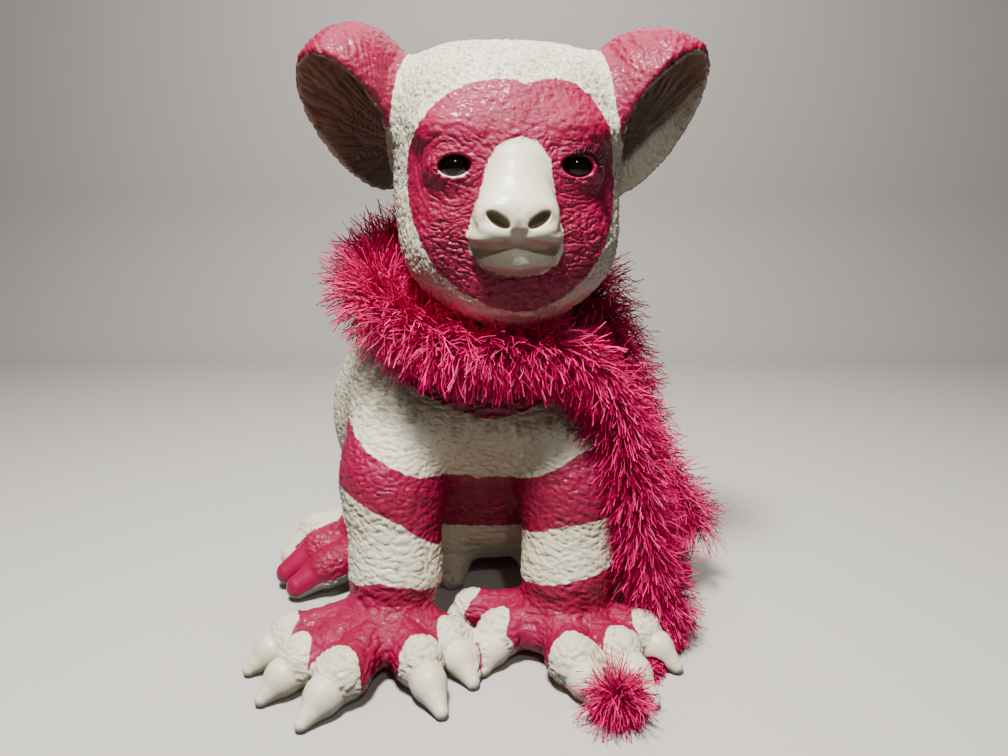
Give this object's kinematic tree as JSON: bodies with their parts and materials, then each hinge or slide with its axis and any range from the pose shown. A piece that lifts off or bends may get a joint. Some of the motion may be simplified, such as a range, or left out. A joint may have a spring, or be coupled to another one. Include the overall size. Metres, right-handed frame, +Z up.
{
  "type": "koala figurine",
  "caption": "Seated koala figurine cast in painted resin, with open ears, spread clawed paws, glass eyes, a strip of false lash and a fringed garland round its neck.",
  "frame": {"origin": "on the floor under the middle of the figure's bounding box, the garland left out", "axes": "+Z up; the koala faces -Y and its own left side is at +X"},
  "size_m": [0.9042, 0.8739, 1.0403],
  "materials": {
    "gloss_resin": "gloss enamel in raspberry pink and warm white stripes over cast resin",
    "dark_glass": "polished dark glass",
    "black_fibre": "synthetic lash hair on a glued band",
    "fringe_fibre": "crimped magenta fringe yarn"
  },
  "bodies": {
    "root": {"koala": "gloss_resin", "eye_right": "dark_glass", "eye_left": "dark_glass", "eyelash": "black_fibre", "garland": "fringe_fibre"}
  },
  "joints": []
}
